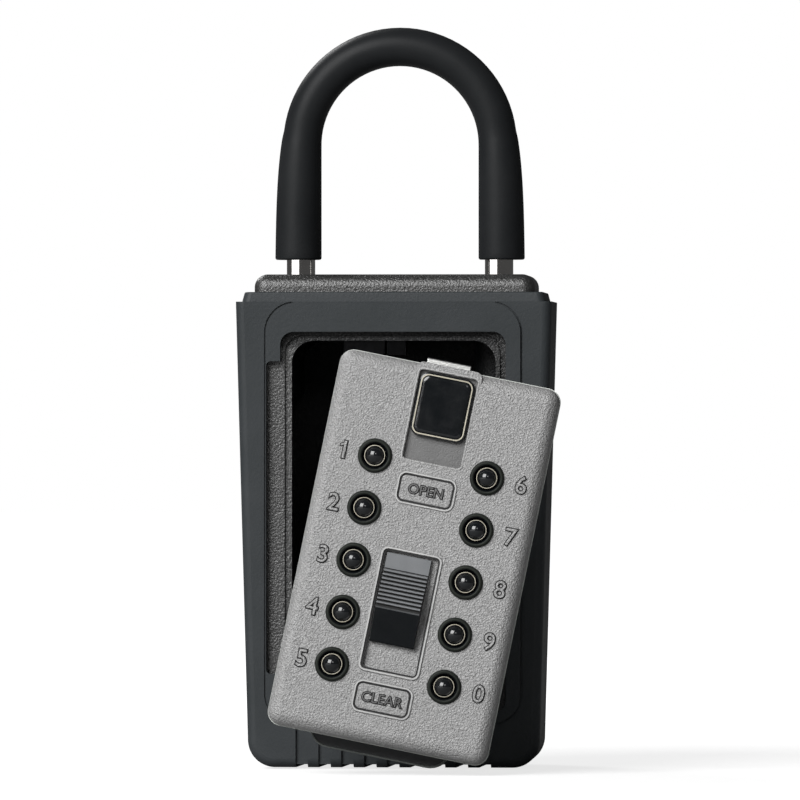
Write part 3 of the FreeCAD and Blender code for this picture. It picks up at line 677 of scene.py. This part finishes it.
def clear_slider():
    """Thumb slide: a flat band, ribs that climb to a ridge, and a black face that falls away."""
    low_h, band_h, ridge_h = -1.1, 0.2, 3.2
    profile = [(-0.1, low_h), (-0.1, band_h - 0.15), (-0.3, band_h), (-3.9, band_h)]
    slots = [0, 0, 0, 3]
    pitch = (RIBS_START - RIBS_STOP) / RIBS
    for i in range(RIBS):
        v = RIBS_START - i * pitch
        h = band_h + 0.5 + (ridge_h - band_h - 0.5) * i / (RIBS - 1)
        profile += [(v, h - 0.65), (v - pitch * 0.14, h - 0.12), (v - pitch * 0.24, h), (v - pitch * 0.52, h),
                    (v - pitch * 0.66, h - 0.12), (v - pitch * 0.82, h - 0.65)]
        # The ribs' falling faces and the valleys between them are in painted shadow.
        slots += [0, 0, 0, 3, 3, 3]
    profile += [(-13.6, ridge_h - 0.1), (-13.9, ridge_h - 0.5), (-21.9, 0.5), (-22.2, 0.2), (-22.2, low_h)]
    slots += [0, 1, 1, 1, 0]
    verts, faces, face_slots = [], [], []
    count = len(profile)
    for u in CLEAR_SLIDE:
        verts += [lid_point(u, v, h) for v, h in profile]
    for i in range(count):
        j = (i + 1) % count
        faces.append((i, j, count + j, count + i))
        face_slots.append(slots[i])
    faces.append(tuple(range(count)))
    faces.append(tuple(reversed(range(count, 2 * count))))
    face_slots += [2, 2]
    obj = mesh_object("clear_thumb_slide", verts, faces,
                      [MATERIALS["clear_grey"], BLACK_FACE, MATERIALS["housing_black"], PAINTED_SHADOW], face_slots,
                      smooth=False)
    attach(obj, "clear_slide")
    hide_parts("clear_slide")
    bevel = obj.modifiers.new("bevel", "BEVEL")
    bevel.width = 0.08 * MM
    bevel.segments = 2
    bevel.angle_limit = math.radians(40)


def cover_edge():
    """Thin bare rim that shows round the back edge of the cover, its light grey partly a painted highlight."""
    rect = grown((-COVER_HALF_W, COVER_HALF_W, -COVER_HALF_H, COVER_HALF_H), COVER_EDGE_OUT)
    steps = [(1.2, -4.75), (0.0, -4.75), (0.0, -4.95), (1.2, -4.95)]
    edge = terrace("cover_edge", rect, COVER_CORNER_R, steps, [BARE_RIM_HIGHLIGHT], cap=False)


def tongue_edge():
    """Raised border of the tongue below the cover."""
    steps = [(0.3, -13.6), (0.0, -13.5), (0.0, -13.25), (0.15, -13.1), (0.4, -13.1), (0.55, -13.3),
             (0.6, -13.5)]
    edge = terrace("tongue_edge", TONGUE, TONGUE_CORNER_R, steps, [EDGE_GREY], cap=False)


def one_flag():
    """Flag of the digit 1, which the letterform lacks."""
    u0, v0 = DIGIT_X[0], BUTTON_TOP + DIGIT_HEIGHT / 2
    verts, faces, slots = [], [], []
    tip = u0 - ONE_FLAG_RUN
    # The wider, lower bar is an outline of painted shadow; the narrower one is the raised flag.
    for grow, high, slot in ((0.2, 0.03, 1), (-0.06, DIGIT_RISE, 0)):
        bar = ((u0 + 0.1, v0 + grow), (tip - grow, v0 - 0.9 + grow * 0.5),
               (tip - grow, v0 - 1.45 - grow), (u0 + 0.1, v0 - 0.6 - grow))
        start = len(verts)
        verts += [lid_point(u, v, h) for h in (0.0, high) for u, v in bar]
        faces += [tuple(range(start, start + 4)), tuple(range(start + 7, start + 3, -1))]
        faces += [(start + i, start + (i + 1) % 4, start + 4 + (i + 1) % 4, start + 4 + i) for i in range(4)]
        slots += [slot] * 6
    flag = mesh_object("digit_1_flag", verts, faces, [MATERIALS["cover_titanium"], PAINTED_SHADOW], slots,
                       smooth=False)
    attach(flag, "lid")


def digits():
    """Raised digit beside each button."""
    for digit, side, (_, v) in button_centres():
        u = DIGIT_X[0] if side < 0 else DIGIT_X[1]
        cover_text("digit_%d" % digit, str(digit), (u, v), DIGIT_HEIGHT, rise=(0.02, DIGIT_RISE),
                   outline=0.31, weight=-0.01, paint=MATERIALS["cover_titanium"])
    one_flag()


# ------------------------------------------------------------------ CAD nodes that stay

# Radius in millimetres that softens each node's sharp edges.
SOFTENED = {
    "case_body": 0.35, "bumper_jacket": 0.3, "lid_cover": 0.3, "mechanism_housing": 0.35, "latch_bolt": 0.15,
    "shackle_latch": 0.2, "latch_guide_plate": 0.2, "rear_plate": 0.12,
}


def bolt_metal(obj):
    """Zinc with a painted dark reflection, a band across the tip of the cover's bolt."""
    mat = metal("bolt_zinc_painted_reflection", (0.70, 0.70, 0.68), (0.88, 0.88, 0.86), 0.25, (1, 1, 6))
    tree = mat.node_tree
    shader = tree.nodes["Principled BSDF"]
    shader.inputs["Metallic"].default_value = 0.4
    plain = shader.inputs["Base Color"].links[0].from_socket
    to_object = obj.matrix_world.inverted()
    start = to_object @ lid_point(BOLT_X, BOLT_REFLECTION - BOLT_REFLECTION_FADE, 0.0)
    end = to_object @ lid_point(BOLT_X, BOLT_REFLECTION + BOLT_REFLECTION_FADE, 0.0)
    up = (end - start).normalized()
    along = tree.nodes.new("ShaderNodeVectorMath")
    along.operation = "DOT_PRODUCT"
    tree.links.new(object_coordinates(tree), along.inputs[0])
    along.inputs[1].default_value = up
    # Painted dark reflection: a band across the bolt's tip.
    band = remap(tree, along.outputs["Value"], start.dot(up), end.dot(up), 0.0, 1.0)
    tree.links.new(blend(tree, band, plain, (0.020, 0.020, 0.022)), shader.inputs["Base Color"])
    return mat


def dress_cad_nodes():
    """Gives every CAD node its slot's material and softens the larger ones."""
    slot_of = {row["node"]: row["material_slot"] for row in frame["record"]["subparts"]}
    for name, obj in frame["nodes"].items():
        obj.data.materials.clear()
        obj.data.materials.append(bolt_metal(obj) if name == "latch_bolt" else MATERIALS[slot_of[name]])
        if name in SOFTENED:
            soften(obj, SOFTENED[name] * MM)


# ------------------------------------------------------------------ stage

def floor():
    """Pale floor that brightens away from the object."""
    z = cad_box[0].z - FLOOR_GAP
    corners = [(x * FLOOR_HALF, y * FLOOR_HALF, z) for x, y in ((-1, -1), (1, -1), (1, 1), (-1, 1))]
    mat, tree, shader = new_material("floor_paper")
    coords = object_coordinates(tree)
    grain = noise(tree, coords, 300.0, 3.0)
    paper = ramp(tree, grain, 0.3, 0.7, ((0.28, 0.28, 0.28), (0.32, 0.32, 0.32)))
    tree.links.new(paper, shader.inputs["Base Color"])
    shader.inputs["Roughness"].default_value = 0.9
    shader.inputs["Emission Color"].default_value = (1, 1, 1, 1)
    length = tree.nodes.new("ShaderNodeVectorMath")
    length.operation = "LENGTH"
    tree.links.new(coords, length.inputs[0])
    glow = remap(tree, length.outputs["Value"], 0.22, 0.5, 0.75, 1.0)
    rays = tree.nodes.new("ShaderNodeLightPath")
    seen_glow = combine(tree, "MULTIPLY", glow, rays.outputs["Is Camera Ray"])
    tree.links.new(seen_glow, shader.inputs["Emission Strength"])
    obj = mesh_object("floor", corners, [(0, 1, 2, 3)], [mat])


def area_light(name, place, size, power, target=(0, 0, -0.1)):
    light = bpy.data.lights.new(name, "AREA")
    light.shape = "RECTANGLE"
    light.size, light.size_y = size
    light.energy = power
    obj = bpy.data.objects.new(name, light)
    obj.location = place
    obj.rotation_euler = (Vector(target) - Vector(place)).to_track_quat("-Z", "Y").to_euler()
    bpy.context.scene.collection.objects.link(obj)


def lights():
    """Soft studio light, in a white room that lights the object only a little."""
    area_light("key", (-1.0, -1.68, 1.1), (1.5, 1.5), 76.0)
    area_light("front", (0.5, -2.3, 0.9), (0.4, 0.4), 4.0)
    area_light("rim", (-0.7, 0.9, 0.8), (0.5, 0.5), 7.0)
    area_light("strip", (-1.38, -1.45, -0.03), (2.5, 0.2), 3.0, target=(0, 0, -0.03))
    world = bpy.data.worlds.new("studio")
    world.use_nodes = True
    tree = world.node_tree
    back = tree.nodes["Background"]
    back.inputs["Color"].default_value = (1, 1, 1, 1)
    back.inputs["Strength"].default_value = 0.07
    seen = tree.nodes.new("ShaderNodeBackground")
    seen.inputs["Color"].default_value = (1, 1, 1, 1)
    seen.inputs["Strength"].default_value = 1.0
    rays = tree.nodes.new("ShaderNodeLightPath")
    mix = tree.nodes.new("ShaderNodeMixShader")
    tree.links.new(rays.outputs["Is Camera Ray"], mix.inputs["Fac"])
    tree.links.new(back.outputs["Background"], mix.inputs[1])
    tree.links.new(seen.outputs["Background"], mix.inputs[2])
    tree.links.new(mix.outputs["Shader"], tree.nodes["World Output"].inputs["Surface"])
    bpy.context.scene.world = world


def camera():
    """Level camera a little to the right of the front."""
    data = bpy.data.cameras.new("camera")
    data.sensor_width = SENSOR
    data.lens = SENSOR * CAMERA_DISTANCE / VIEW_WIDTH
    data.clip_end = CAMERA_REACH
    obj = bpy.data.objects.new("camera", data)
    a = math.radians(CAMERA_AZIMUTH)
    obj.location = CAMERA_TARGET + Vector((math.sin(a), -math.cos(a), 0)) * CAMERA_DISTANCE
    obj.rotation_euler = (CAMERA_TARGET - obj.location).to_track_quat("-Z", "Y").to_euler()
    bpy.context.scene.collection.objects.link(obj)
    bpy.context.scene.camera = obj


camera()
floor()
lights()
bpy.context.scene.view_settings.view_transform = "Standard"
dress_cad_nodes()
shackle_sleeve()
bezel_rings()
button_caps()
open_pad()
open_recess()
label_plates()
clear_frame()
clear_slider()
digits()
cover_edge()
tongue_edge()
